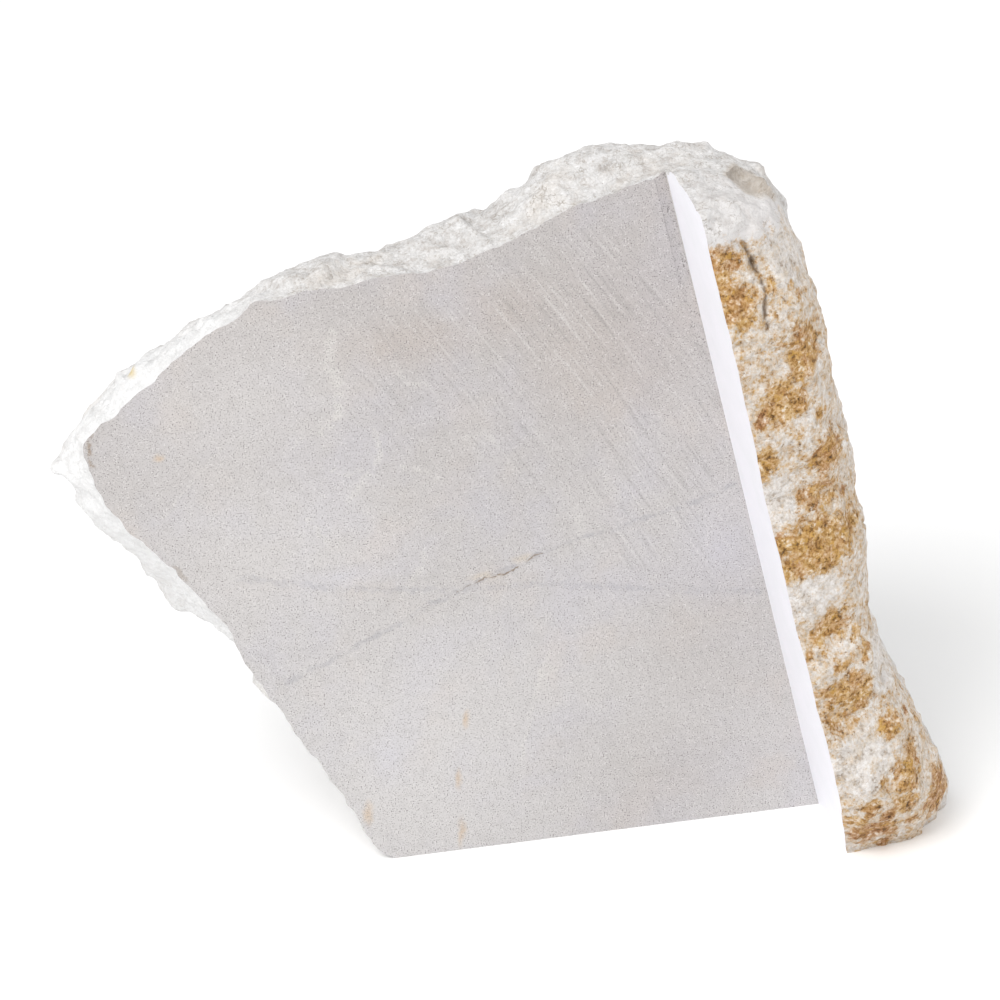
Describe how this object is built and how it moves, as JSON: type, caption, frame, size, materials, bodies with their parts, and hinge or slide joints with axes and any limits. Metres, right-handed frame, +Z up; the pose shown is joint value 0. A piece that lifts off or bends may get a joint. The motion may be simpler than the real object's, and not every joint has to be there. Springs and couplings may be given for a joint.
{
  "type": "limestone hand specimen",
  "caption": "Broken limestone block with one sawn flat face, a square sawn step and a weathered ridge beside it; stands on a flat cut base.",
  "frame": {"origin": "middle of the footprint box, on the resting face", "axes": "+X along the sawn face towards the ridge, -Y out of the sawn face towards the viewer, +Z up from the resting face"},
  "size_m": [0.1244, 0.0556, 0.1032],
  "materials": {
    "limestone": "matt sawn and broken stone"
  },
  "bodies": {
    "root": {"limestone_block": "limestone"}
  },
  "joints": []
}
